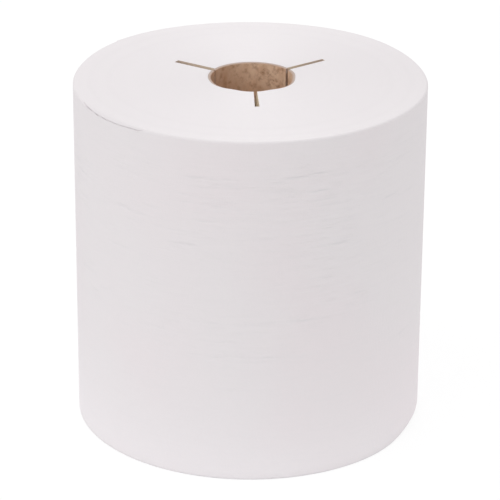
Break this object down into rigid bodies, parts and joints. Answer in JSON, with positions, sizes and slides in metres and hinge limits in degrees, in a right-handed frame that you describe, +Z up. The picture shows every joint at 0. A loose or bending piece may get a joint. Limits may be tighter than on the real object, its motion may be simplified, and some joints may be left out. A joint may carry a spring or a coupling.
{
  "type": "paper towel roll",
  "caption": "Hard-wound paper towel roll on a cardboard core, standing on end, with straight radial notches cut through the core and the turns round it at its upper end.",
  "frame": {"origin": "centre of the plain lower end, on the axis of the core", "axes": "+Z up along the core's axis to the notched end; -Y along one of the notches"},
  "size_m": [0.2007, 0.2009, 0.2042],
  "materials": {
    "wound_paper": "matt creped",
    "core_board": "matt kraft"
  },
  "bodies": {
    "root": {"paper_roll": "wound_paper", "core_tube": "core_board"}
  },
  "joints": []
}
